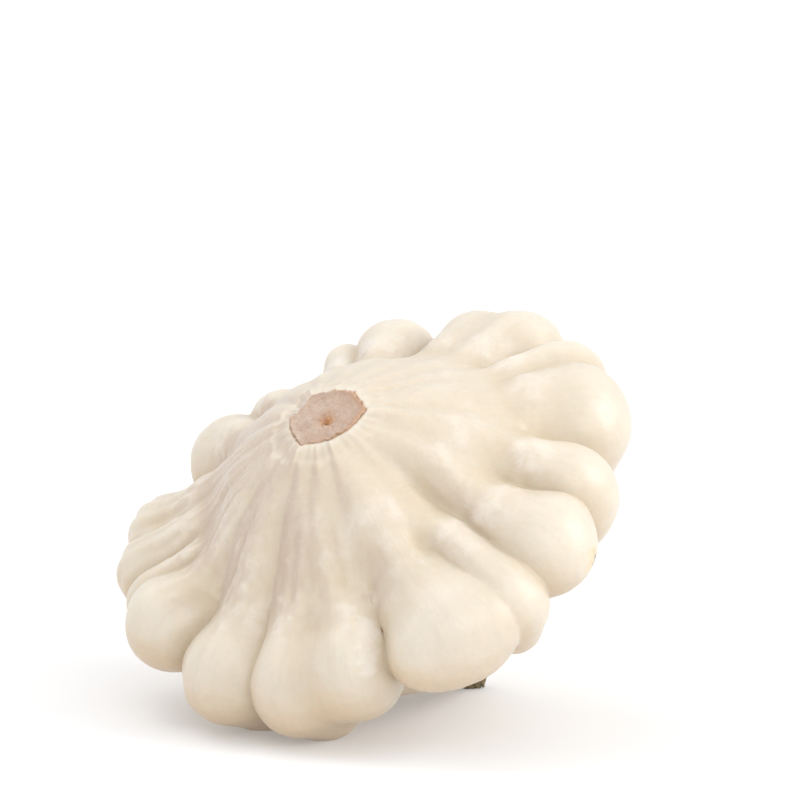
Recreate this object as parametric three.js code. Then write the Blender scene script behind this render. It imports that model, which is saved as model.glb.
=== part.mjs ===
/**
 * A white pattypan squash lying on its side, as it settles on a table: it stands on the
 * tips of two lobes and on its blossom end. Millimetres, +Z up, origin on the table under
 * the middle of the fruit.
 *
 * The fruit is worked out upright, with its stem along +Z and +X towards the lobe that
 * ends up lowest, and is then laid over. Its skin is where a field is zero: a ribbed
 * crown and belly, joined smoothly to a ring of knuckle-like lobes.
 */
import * as THREE from 'three';

// How it lies.
const LEAN = THREE.MathUtils.degToRad(37); // of the stem, away from upright
const HEADING = THREE.MathUtils.degToRad(-130); // of the lowest lobe, about +Z
const REST_HEIGHT = -48.6; // of the table, from the middle of the upright fruit
const SEAT_GAP = 0.3; // between the fruit and the two pieces that sit on it

// Crown and belly: half an egg each, meeting at the equator.
const EQUATOR_HEIGHT = -3;
const CROWN = { radius: 55, height: 38.5, roundness: 1.5 };
const BELLY = { radius: 58, height: 56, roundness: 1.07 };
const CROWN_SWELL = { amount: 4, heading: 92 }; // one side of the crown is fuller
const CROWN_FLARE_HEIGHT = 7; // over which the crown's foot widens to the belly
const BELLY_SHIFT = 3; // of the blossom end, off the stem's line
const CROWN_JOIN = 9; // width of the blend between the crown and the lobes
const BELLY_JOIN = { width: 14, from: -4, to: -16 }; // the blend widens between these heights

// Creases between the ribs of the crown and belly.
const CREASE_WIDTH = 5.5;
const CREASE_RUN = 16; // over which a crease deepens, going outwards
const FAINT_CREASE = { depth: 0.5, width: 5 };
const BELLY_CREASE_FADE = 30;

// Stem scar and blossom scar.
const STEM_SEAT_HEIGHT = 31.6;
const STEM = { height: 1.7, flare: 1.07, dimpleRadius: 2.6, dimpleDepth: 1.2 };
const STEM_CORNERS = [
  [0, 9.9], [45, 10.1], [76, 10.5], [111, 11.5], [159, 9.8],
  [194, 9.0], [230, 10.2], [253, 7.8], [283, 9.1], [312, 8.3],
]; // heading in degrees, radius
const BLOSSOM_SEAT_HEIGHT = -54.5;
const BLOSSOM = { radius: 4.2, height: 5.9, sides: 20, waviness: 0.07 };

/**
 * The lobes, in order round the stem. Angles are in degrees.
 *  middle, half: where the lobe is and half of the angle it takes up
 *  reach, thick: how far its tip is from the stem's line, and half its height
 *  level, droop: height of the tip, and how far its underside hangs below that
 *  root: radius and height where it leaves the crown, and its half height there
 *  swell: how far it presses over its neighbours; merge: how softly it meets the last one
 *  crease: depth of the crown's crease after it, and the radius where that starts
 */
const LOBES = [
  { middle: -9, half: 11.8, reach: 67.5, thick: 12.5, level: -1.5, droop: 9.5, root: [46, 4.5, 8],
    swell: 1.10, merge: 1, crease: [2.2, 20] },
  { middle: 12, half: 8.8, reach: 67.5, thick: 12.5, level: -2, droop: 9.5, root: [46.5, 4, 8.5],
    swell: 1.25, merge: 1, crease: [0.8, 24] },
  { middle: 28, half: 8.8, reach: 66.5, thick: 11.5, level: 0, droop: 3.5, root: [46.5, 4.5, 8.5],
    swell: 1.25, merge: 9, crease: [3.2, 30] },
  { middle: 55, half: 14.5, reach: 71, thick: 11.3, level: 2.2, droop: 2.5, root: [46, 6.5, 8],
    swell: 1.12, merge: 1, crease: [3.6, 34] },
  { middle: 69, half: 7.2, reach: 69, thick: 11, level: 1.2, droop: 8, root: [43, 10.5, 6.5],
    swell: 1.25, merge: 1, crease: [3.4, 14] },
  { middle: 86, half: 11, reach: 68.5, thick: 11.5, level: 2.8, droop: 3, root: [46.5, 9.5, 7],
    swell: 1.15, merge: 1, crease: [2.8, 30] },
  { middle: 107, half: 10, reach: 64.5, thick: 12, level: 0, droop: 6, root: [47, 9.5, 7],
    swell: 1.15, merge: 1, crease: [2.2, 34] },
  { middle: 135.5, half: 14, reach: 67.5, thick: 13, level: 0.5, droop: 6, root: [47, 9.5, 7.5],
    swell: 1.08, merge: 1, crease: [1.0, 36] },
  { middle: 150, half: 6.8, reach: 67.5, thick: 10.5, level: 2, droop: 6, root: [46, 9.5, 7],
    swell: 1.25, merge: 2, crease: [2.6, 34] },
  { middle: 169, half: 8.5, reach: 68.5, thick: 11.5, level: 2, droop: 6, root: [46, 9, 7],
    swell: 1.20, merge: 1, crease: [0.8, 36] },
  { middle: 182.5, half: 10, reach: 67.3, thick: 12, level: 1, droop: 6, root: [46, 9, 7],
    swell: 1.10, merge: 9, crease: [2.6, 34] },
  { middle: 207.5, half: 9.5, reach: 68.5, thick: 11.5, level: 0.5, droop: 6, root: [46, 8, 7],
    swell: 1.08, merge: 1, crease: [2.4, 34] },
  { middle: 220, half: 6, reach: 65, thick: 10, level: 0, droop: 6, root: [46, 8, 6],
    swell: 1.25, merge: 1, crease: [2.2, 34] },
  { middle: 242, half: 10, reach: 61.5, thick: 11.5, level: 0, droop: 6, root: [46, 8, 7],
    swell: 1.10, merge: 1, crease: [2.4, 30] },
  { middle: 258.5, half: 11.5, reach: 66, thick: 12, level: 0, droop: 6, root: [46, 8, 7],
    swell: 1.10, merge: 1, crease: [2.6, 26] },
  { middle: 285.5, half: 10.5, reach: 70.3, thick: 10.5, level: -2, droop: 6, root: [45, 7, 7],
    swell: 1.10, merge: 1, crease: [1.6, 26] },
  { middle: 300, half: 8.5, reach: 68.7, thick: 11.5, level: -0.5, droop: 6, root: [45, 7.5, 7],
    swell: 1.20, merge: 2.5, crease: [1.6, 26] },
  { middle: 312.5, half: 4.8, reach: 66.5, thick: 10, level: 0, droop: 6, root: [45, 7, 6],
    swell: 1.35, merge: 1.5, crease: [1.6, 26] },
  { middle: 325.5, half: 11, reach: 67.5, thick: 11.5, level: 3.2, droop: 3, root: [46, 6, 7.5],
    swell: 1.12, merge: 1, crease: [2.4, 24] },
];
const LOBE_INSET = 10; // from its reach to where a lobe is widest
const UNDERSIDE = { inset: 0.5, size: 0.86, join: 3 }; // of a lobe, against its droop and tip
const LOBE_REACH_ANGLE = 40; // beyond this a lobe has no say in the skin

// The mesh: columns run from scar to scar, rows run round the fruit.
const NARROW_LOBE = 7.5;
const COLUMNS = { narrow: 4, wide: 6 };
const ROWS = 40;
const ROW_CROWDING = { amount: 1.6, middle: -5, width: 32 }; // rows gather on the lobes
const SKELETON = { radius: 30, height: -4 }; // ring that the rays start from
const RAY_LENGTH = 75;
const HALVINGS = 22;

const SKIN = { color: 0xe9dcc4, roughness: 0.42, metalness: 0 };
const CORK = { color: 0xb59a7c, roughness: 0.9, metalness: 0 };
const BLOSSOM_CORK = { color: 0x4a3a22, roughness: 0.85, metalness: 0 };

const { degToRad, clamp, smoothstep, euclideanModulo } = THREE.MathUtils;

/** Signed angle from b to a, in degrees, between -180 and 180. */
function turnBetween(a, b) {
  return euclideanModulo(a - b + 180, 360) - 180;
}

/** The lesser of two fields, rounded over a width where they meet. */
function smoothJoin(a, b, width) {
  const near = Math.max(width - Math.abs(a - b), 0) / width;
  return Math.min(a, b) - (near ** 3 * width) / 6;
}

/** Distance from a point to a cone with round ends of radius ra and rb. */
function roundCone(point, a, b, ra, rb) {
  const along = b.clone().sub(a);
  const offset = point.clone().sub(a);
  const length2 = along.lengthSq();
  const taper = ra - rb;
  const slope = length2 - taper * taper;
  const y = offset.dot(along);
  const z = y - length2;
  const x2 = offset.clone().multiplyScalar(length2).addScaledVector(along, -y).lengthSq();
  const y2 = y * y * length2;
  const z2 = z * z * length2;
  const limit = Math.sign(taper) * taper * taper * x2;
  if (Math.sign(z) * slope * z2 > limit) return Math.sqrt(x2 + z2) / length2 - rb;
  if (Math.sign(y) * slope * y2 < limit) return Math.sqrt(x2 + y2) / length2 - ra;
  return (Math.sqrt((x2 * slope) / length2) + y * taper) / length2 - ra;
}

/** Where the crease after each lobe runs, in degrees, with its depth and start. */
const creases = LOBES.map((lobe, index) => {
  const next = LOBES[(index + 1) % LOBES.length];
  const gap = euclideanModulo(next.middle - lobe.middle, 360);
  const heading = lobe.middle + (gap * lobe.half) / (lobe.half + next.half);
  return { heading, depth: lobe.crease[0], start: lobe.crease[1] };
});

/** How far the crown is cut in by its creases, at a heading and radius. */
function creaseDepth(heading, radius) {
  let depth = 0;
  for (const crease of creases) {
    const turn = turnBetween(heading, crease.heading);
    const arc = (degToRad(turn) * radius) / CREASE_WIDTH;
    const run = smoothstep(radius, crease.start, crease.start + CREASE_RUN);
    const faint = FAINT_CREASE.depth * clamp(radius / 20, 0, 1);
    depth += crease.depth * run * Math.exp(-arc * arc);
    depth += faint * Math.exp(-((turn / FAINT_CREASE.width) ** 2));
  }
  return depth;
}

/** Field of the crown and belly, without lobes. */
function bodyField(point) {
  const height = point.z - EQUATOR_HEIGHT;
  const half = height > 0 ? CROWN : BELLY;
  const radius = Math.max(Math.hypot(point.x, point.y), 1e-6);
  const drop = Math.max(Math.abs(height), 1e-6);
  const heading = THREE.MathUtils.radToDeg(Math.atan2(point.y, point.x));
  const fuller = Math.max(Math.cos(degToRad(heading - CROWN_SWELL.heading)), 0);
  const risen = smoothstep(height, 0, CROWN_FLARE_HEIGHT);
  const swell = height > 0 ? CROWN_SWELL.amount * fuller * risen : 0;
  const flare = (BELLY.radius - half.radius) * (1 - risen);
  const fade = height > 0 ? 1 : Math.exp(-((drop / BELLY_CREASE_FADE) ** 2));
  const wide = half.radius + flare + swell;
  const across = radius / wide;
  const up = drop / half.height;
  const n = half.roundness;
  const sum = across ** n + up ** n;
  const level = sum ** (1 / n);
  const steepness = sum ** (1 / n - 1);
  const slopeAcross = (steepness * across ** (n - 1)) / wide;
  const slopeUp = (steepness * up ** (n - 1)) / half.height;
  return (level - 1) / Math.hypot(slopeAcross, slopeUp) + creaseDepth(heading, radius) * fade;
}

/** Field of one lobe: a tapering knuckle with a lower knuckle hanging from its tip. */
function lobeField(point, lobe) {
  const angle = degToRad(lobe.middle);
  const halfWidth = lobe.swell * (lobe.reach - LOBE_INSET) * Math.sin(degToRad(lobe.half));
  const squeeze = lobe.thick / halfWidth;
  const outward = point.x * Math.cos(angle) + point.y * Math.sin(angle);
  const sideways = point.y * Math.cos(angle) - point.x * Math.sin(angle);
  const place = new THREE.Vector3(outward, sideways * squeeze, point.z);
  const tipRadius = lobe.reach - lobe.thick;
  const [rootRadius, rootHeight, rootSize] = lobe.root;
  const root = new THREE.Vector3(rootRadius, 0, rootHeight);
  const tip = new THREE.Vector3(tipRadius, 0, lobe.level);
  const under = new THREE.Vector3(tipRadius - UNDERSIDE.inset * lobe.droop, 0, lobe.level - lobe.droop);
  const upper = roundCone(place, root, tip, rootSize, lobe.thick);
  const lower = roundCone(place, tip, under, lobe.thick, UNDERSIDE.size * lobe.thick);
  return smoothJoin(upper, lower, UNDERSIDE.join) / Math.max(squeeze, 1);
}

/** Field of the whole fruit, upright: negative inside, zero on the skin. */
function fruitField(point) {
  const depth = clamp(point.z / BLOSSOM_SEAT_HEIGHT, 0, 1);
  const bodyPoint = point.clone();
  bodyPoint.y -= BELLY_SHIFT * depth * depth;
  const heading = THREE.MathUtils.radToDeg(Math.atan2(point.y, point.x));
  const near = LOBES.filter((lobe) => Math.abs(turnBetween(heading, lobe.middle)) < LOBE_REACH_ANGLE);
  let lobes = 1000;
  for (const lobe of near) lobes = smoothJoin(lobes, lobeField(point, lobe), lobe.merge);
  const low = smoothstep(-point.z, -BELLY_JOIN.from, -BELLY_JOIN.to);
  const join = THREE.MathUtils.lerp(CROWN_JOIN, BELLY_JOIN.width, low);
  return smoothJoin(bodyField(bodyPoint), lobes, join);
}

/** Headings of the mesh's columns: closer together beside each crease. */
function columnHeadings() {
  const headings = [];
  LOBES.forEach((lobe, index) => {
    const start = creases[(index + LOBES.length - 1) % LOBES.length].heading;
    const span = euclideanModulo(creases[index].heading - start, 360);
    const count = lobe.half < NARROW_LOBE ? COLUMNS.narrow : COLUMNS.wide;
    for (let i = 0; i < count; i++) {
      const even = i / count;
      const eased = (1 - Math.cos(Math.PI * even)) / 2;
      headings.push(degToRad(start + (span * (even + eased)) / 2));
    }
  });
  return headings;
}

/** Slopes of the mesh's rows, from straight up to straight down. */
function rowSlopes() {
  const steps = 2000;
  const total = [0];
  for (let i = 1; i <= steps; i++) {
    const slope = 90 - (180 * i) / steps;
    const closeness = ((slope - ROW_CROWDING.middle) / ROW_CROWDING.width) ** 2;
    total.push(total[i - 1] + 1 + ROW_CROWDING.amount * Math.exp(-closeness));
  }
  const slopes = [];
  for (let row = 1; row < ROWS; row++) {
    const wanted = (total[steps] * row) / ROWS;
    const index = total.findIndex((value) => value >= wanted);
    slopes.push(degToRad(90 - (180 * index) / steps));
  }
  return slopes;
}

/** The point of the skin in one direction, found by halving along a ray. */
function skinPoint(heading, slope) {
  const flat = Math.cos(slope);
  const ray = new THREE.Vector3(flat * Math.cos(heading), flat * Math.sin(heading), Math.sin(slope));
  const start = new THREE.Vector3(ray.x, ray.y, 0).multiplyScalar(SKELETON.radius);
  start.z = SKELETON.height;
  let inside = 0;
  let outside = RAY_LENGTH;
  for (let i = 0; i < HALVINGS; i++) {
    const middle = (inside + outside) / 2;
    const point = start.clone().addScaledVector(ray, middle);
    if (fruitField(point) < 0) inside = middle;
    else outside = middle;
  }
  return start.addScaledVector(ray, inside);
}

/** Cuts the top and bottom of the fruit flat, where the two scars sit. */
function seatScars(point) {
  point.z = clamp(point.z, BLOSSOM_SEAT_HEIGHT, STEM_SEAT_HEIGHT);
  return point;
}

/** A closed mesh through rings of points, from the first pole to the last. */
function ringMesh(firstPole, rings, lastPole) {
  const points = [firstPole, ...rings.flat(), lastPole];
  const count = rings[0].length;
  const index = [];
  for (let i = 0; i < count; i++) {
    const next = (i + 1) % count;
    index.push(0, 1 + i, 1 + next);
    for (let row = 0; row < rings.length - 1; row++) {
      const a = 1 + row * count;
      const b = a + count;
      index.push(a + i, b + i, b + next, a + i, b + next, a + next);
    }
    const last = 1 + (rings.length - 1) * count;
    index.push(last + i, points.length - 1, last + next);
  }
  const geometry = new THREE.BufferGeometry().setFromPoints(points);
  geometry.setIndex(index);
  return geometry;
}

/** A ring of points at one height, from a radius for each heading. */
function ring(headings, height, radiusAt, middle = new THREE.Vector2()) {
  return headings.map((heading, i) => {
    const radius = radiusAt(i);
    const x = middle.x + radius * Math.cos(heading);
    return new THREE.Vector3(x, middle.y + radius * Math.sin(heading), height);
  });
}

/** The fruit itself, one solid. */
function fruitGeometry() {
  const headings = columnHeadings();
  const rings = rowSlopes().map((slope) => headings.map((heading) => seatScars(skinPoint(heading, slope))));
  const top = new THREE.Vector3(0, 0, STEM_SEAT_HEIGHT);
  const bottom = new THREE.Vector3(0, 0, BLOSSOM_SEAT_HEIGHT);
  return ringMesh(top, rings, bottom);
}

/** The cut end of the stem: a low, many-cornered plug with a dimple. */
function stemGeometry() {
  const headings = STEM_CORNERS.map(([heading]) => degToRad(heading));
  const corner = (i) => STEM_CORNERS[i][1];
  const low = STEM_SEAT_HEIGHT + SEAT_GAP;
  const high = low + STEM.height;
  const rings = [
    ring(headings, high, () => STEM.dimpleRadius),
    ring(headings, high, corner),
    ring(headings, low, (i) => corner(i) * STEM.flare),
  ];
  const dimple = new THREE.Vector3(0, 0, high - STEM.dimpleDepth);
  return ringMesh(dimple, rings, new THREE.Vector3(0, 0, low));
}

/** The dried blossom end: a short, wavy stub. */
function blossomGeometry() {
  const headings = Array.from({ length: BLOSSOM.sides }, (_, i) => (2 * Math.PI * i) / BLOSSOM.sides);
  const wavy = (share) => (i) => BLOSSOM.radius * share * (1 + BLOSSOM.waviness * Math.cos(5 * headings[i]));
  const middle = new THREE.Vector2(0, BELLY_SHIFT);
  const high = BLOSSOM_SEAT_HEIGHT - SEAT_GAP;
  const profile = [[1, 0], [0.97, 0.45], [0.8, 0.8], [0.45, 1]]; // share of radius, share of height
  const rings = profile.map(([share, drop]) => (
    ring(headings, high - drop * BLOSSOM.height, wavy(share), middle)
  ));
  const top = new THREE.Vector3(middle.x, middle.y, high);
  const bottom = new THREE.Vector3(middle.x, middle.y, high - BLOSSOM.height);
  return ringMesh(top, rings, bottom);
}

/** Lays an upright piece over and presses it flat where it meets the table. */
function layDown(geometry) {
  const pose = new THREE.Matrix4().makeRotationFromEuler(new THREE.Euler(0, LEAN, HEADING, 'ZYX'));
  geometry.applyMatrix4(pose);
  const position = geometry.getAttribute('position');
  for (let i = 0; i < position.count; i++) {
    position.setZ(i, Math.max(position.getZ(i) - REST_HEIGHT, 0));
  }
  geometry.computeVertexNormals();
  return geometry;
}

/** A named mesh with its own finish. */
function piece(name, geometry, finish) {
  const mesh = new THREE.Mesh(layDown(geometry), new THREE.MeshStandardMaterial(finish));
  mesh.name = name;
  return mesh;
}

const squash = new THREE.Group();
squash.add(piece('fruit', fruitGeometry(), SKIN));
squash.add(piece('stem_scar', stemGeometry(), CORK));
squash.add(piece('blossom_scar', blossomGeometry(), BLOSSOM_CORK));

const middle = new THREE.Box3().setFromObject(squash).getCenter(new THREE.Vector3());
squash.position.set(-middle.x, -middle.y, 0);

export default squash;
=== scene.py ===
"""A white pattypan squash lying on its side, with its stem scar, blossom end and studio.

The fruit's skin is worked out upright, in millimetres, as the zero of a field: a ribbed
crown and belly joined smoothly to a ring of lobes. It is then laid over as it rests.
"""

import logging
import math
from dataclasses import dataclass, field
from enum import Enum
from typing import Callable, Sequence

import bpy
import numpy as np
from mathutils import Matrix, Vector


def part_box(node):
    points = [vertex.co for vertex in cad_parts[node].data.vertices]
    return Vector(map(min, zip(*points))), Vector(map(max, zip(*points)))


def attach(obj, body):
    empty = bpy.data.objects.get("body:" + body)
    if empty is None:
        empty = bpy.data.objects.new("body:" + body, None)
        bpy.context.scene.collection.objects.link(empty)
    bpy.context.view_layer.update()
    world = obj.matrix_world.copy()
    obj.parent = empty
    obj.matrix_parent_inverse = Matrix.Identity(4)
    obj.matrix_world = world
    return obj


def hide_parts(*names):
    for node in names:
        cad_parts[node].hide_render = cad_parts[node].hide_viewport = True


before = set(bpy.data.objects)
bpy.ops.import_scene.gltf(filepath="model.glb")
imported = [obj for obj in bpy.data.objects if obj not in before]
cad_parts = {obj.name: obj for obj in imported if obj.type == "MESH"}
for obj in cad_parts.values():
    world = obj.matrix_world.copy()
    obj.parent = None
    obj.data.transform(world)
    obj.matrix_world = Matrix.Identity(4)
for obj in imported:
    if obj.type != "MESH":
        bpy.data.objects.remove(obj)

log = logging.getLogger("squash")

MM = 0.001
TURN = 360.0
Array = np.ndarray
Outline = Callable[[Array], Array]
Pair = tuple[float, float]
Colour = tuple[float, float, float]


# ---------------------------------------------------------------- small maths


def turn_between(a: Array, b: float) -> Array:
    """Signed angle from b to a, in degrees, between -180 and 180."""
    return (a - b + TURN / 2) % TURN - TURN / 2


def smooth_step(x: Array, start: float, end: float) -> Array:
    """Rises from 0 at start to 1 at end, level at both.

    Args:
        x: Where to read it.
        start: Where it is still 0. May be above end, to fall instead.
        end: Where it reaches 1.

    Returns:
        The share, from 0 to 1.
    """
    share = np.clip((x - start) / (end - start), 0.0, 1.0)
    return share * share * (3.0 - 2.0 * share)


def bump(x: Array, width: float) -> Array:
    """A bell of height 1 about 0."""
    return np.exp(-((x / width) ** 2))


def smooth_join(a: Array, b: Array, width: Array | float) -> Array:
    """The lesser of two fields, rounded over a width where they meet."""
    near = np.maximum(width - np.abs(a - b), 0.0) / width
    return np.minimum(a, b) - near**3 * width / 6.0


def round_cone(out: Array, side: Array, up: Array, a: Pair, b: Pair, ra: float, rb: float) -> Array:
    """Distance to a cone with round ends, whose axis lies in the plane where side is 0.

    Args:
        out: Distance outwards of each point.
        side: Distance sideways of each point.
        up: Height of each point.
        a: Outward distance and height of the first end.
        b: The same for the second end.
        ra: Radius of the first end.
        rb: Radius of the second end.

    Returns:
        The distance, negative inside.
    """
    along = (b[0] - a[0], b[1] - a[1])
    length2 = along[0] ** 2 + along[1] ** 2
    taper = ra - rb
    slope = length2 - taper * taper
    x, z = out - a[0], up - a[1]
    y = x * along[0] + z * along[1]
    past = y - length2
    off2 = (length2 * x - along[0] * y) ** 2 + (length2 * side) ** 2 + (length2 * z - along[1] * y) ** 2
    limit = math.copysign(taper * taper, taper) * off2
    y2, past2 = y * y * length2, past * past * length2
    body = (np.sqrt(off2 * slope / length2) + y * taper) / length2 - ra
    body = np.where(np.sign(y) * slope * y2 < limit, np.sqrt(off2 + y2) / length2 - ra, body)
    return np.where(np.sign(past) * slope * past2 > limit, np.sqrt(off2 + past2) / length2 - rb, body)


@dataclass(frozen=True)
class Waves:
    """Smooth, seeded unevenness: a sum of plane waves in random directions."""

    length: float
    seed: int
    count: int = 14
    spread: float = 0.45

    def at(self, points: Array) -> Array:
        """Height of the unevenness at each point, mostly between -1 and 1.

        Args:
            points: Positions, in millimetres, in the last axis.

        Returns:
            One number for each point.
        """
        draw = np.random.default_rng(self.seed)
        total = np.zeros(points.shape[:-1])
        for _ in range(self.count):
            way = draw.normal(size=3)
            way /= np.linalg.norm(way)
            pitch = 2 * math.pi / (self.length * (1 + self.spread * draw.uniform(-1, 1)))
            total += np.sin(points @ (way * pitch) + draw.uniform(0, 2 * math.pi))
        return total / math.sqrt(self.count)


def rough(layers: Sequence[tuple[float, float, int]], points: Array) -> Array:
    """Sum of waves at each point. A layer is its height, its length and its seed."""
    return sum(amount * Waves(length, seed).at(points) for amount, length, seed in layers)


# ---------------------------------------------------------------- the fruit's form


@dataclass(frozen=True)
class Lobe:
    """One knuckle of the rim. Angles in degrees, lengths in millimetres.

    root is its radius, height and half height where it leaves the crown, merge is how
    softly it meets the lobe before it, and crease is the depth of the crown's crease
    after it with the radius where that starts.
    """

    middle: float
    half: float
    reach: float
    thick: float
    level: float
    droop: float
    root: tuple[float, float, float]
    swell: float
    merge: float
    crease: tuple[float, float]


LOBES: tuple[Lobe, ...] = (
    Lobe(-9, 11.8, 67.5, 12.5, -1.5, 9.5, (46, 4.5, 8), 1.10, 1, (2.2, 20)),
    Lobe(12, 8.8, 67.5, 12.5, -2, 9.5, (46.5, 4, 8.5), 1.25, 1, (0.8, 24)),
    Lobe(28, 8.8, 66.5, 11.5, 0, 3.5, (46.5, 4.5, 8.5), 1.25, 9, (3.2, 30)),
    Lobe(55, 14.5, 71, 11.3, 2.2, 2.5, (46, 6.5, 8), 1.12, 1, (3.6, 34)),
    Lobe(69, 7.2, 69, 11, 1.2, 8, (43, 10.5, 6.5), 1.25, 1, (3.4, 14)),
    Lobe(86, 11, 68.5, 11.5, 2.8, 3, (46.5, 9.5, 7), 1.15, 1, (2.8, 30)),
    Lobe(107, 10, 64.5, 12, 0, 6, (47, 9.5, 7), 1.15, 1, (2.2, 34)),
    Lobe(135.5, 14, 67.5, 13, 0.5, 6, (47, 9.5, 7.5), 1.08, 1, (1.0, 36)),
    Lobe(150, 6.8, 67.5, 10.5, 2, 6, (46, 9.5, 7), 1.25, 2, (2.6, 34)),
    Lobe(169, 8.5, 68.5, 11.5, 2, 6, (46, 9, 7), 1.20, 1, (0.8, 36)),
    Lobe(182.5, 10, 67.3, 12, 1, 6, (46, 9, 7), 1.10, 9, (2.6, 34)),
    Lobe(207.5, 9.5, 68.5, 11.5, 0.5, 6, (46, 8, 7), 1.08, 1, (2.4, 34)),
    Lobe(220, 6, 65, 10, 0, 6, (46, 8, 6), 1.25, 1, (2.2, 34)),
    Lobe(242, 10, 61.5, 11.5, 0, 6, (46, 8, 7), 1.10, 1, (2.4, 30)),
    Lobe(258.5, 11.5, 66, 12, 0, 6, (46, 8, 7), 1.10, 1, (2.6, 26)),
    Lobe(285.5, 10.5, 70.3, 10.5, -2, 6, (45, 7, 7), 1.10, 1, (1.6, 26)),
    Lobe(300, 8.5, 68.7, 11.5, -0.5, 6, (45, 7.5, 7), 1.20, 2.5, (1.6, 26)),
    Lobe(312.5, 4.8, 66.5, 10, 0, 6, (45, 7, 6), 1.35, 1.5, (1.6, 26)),
    Lobe(325.5, 11, 67.5, 11.5, 3.2, 3, (46, 6, 7.5), 1.12, 1, (2.4, 24)),
)


@dataclass(frozen=True)
class HalfEgg:
    """The crown or the belly: its radius at the equator, height and roundness."""

    radius: float
    height: float
    roundness: float


@dataclass(frozen=True)
class Fold:
    """A groove down the crown, or a ridge where depth is negative.

    It lies at a heading, in degrees, has a width in millimetres, and fades in and out
    between the four radii of run.
    """

    heading: float
    depth: float
    width: float
    run: tuple[float, float, float, float]

    def cut(self, heading: Array, radius: Array) -> Array:
        """How deep it is at each heading and radius."""
        rise = smooth_step(radius, self.run[0], self.run[1])
        fall = 1.0 - smooth_step(radius, self.run[2], self.run[3])
        across = np.radians(turn_between(heading, self.heading)) * radius
        return self.depth * rise * fall * bump(across, self.width)


CROWN_FOLDS: tuple[Fold, ...] = (
    Fold(-8, -0.6, 4.0, (18, 28, 42, 50)),
    Fold(21, -0.8, 4.5, (18, 28, 42, 50)),
    Fold(31, 0.5, 2.0, (26, 32, 42, 48)),
    Fold(50, -0.9, 6.0, (12, 22, 42, 52)),
    Fold(12, 0.5, 1.6, (24, 32, 44, 50)),
    Fold(1, 0.5, 1.5, (20, 28, 44, 52)),
    Fold(-18, 0.6, 1.8, (22, 30, 44, 50)),
    Fold(-26, 0.8, 1.8, (18, 26, 46, 52)),
    Fold(-34, -0.5, 1.6, (20, 30, 46, 52)),
    Fold(-42, -0.5, 2.0, (18, 28, 46, 54)),
    Fold(-50, 0.6, 1.6, (22, 30, 46, 52)),
    Fold(76.5, 1.3, 1.5, (20, 32, 58, 64)),
    Fold(60, 1.0, 2.2, (34, 40, 50, 56)),
    Fold(88, -0.7, 6.0, (12, 22, 40, 48)),
    Fold(97, 0.5, 1.6, (34, 42, 52, 58)),
    Fold(112, -0.6, 5.0, (14, 24, 40, 48)),
)


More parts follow.
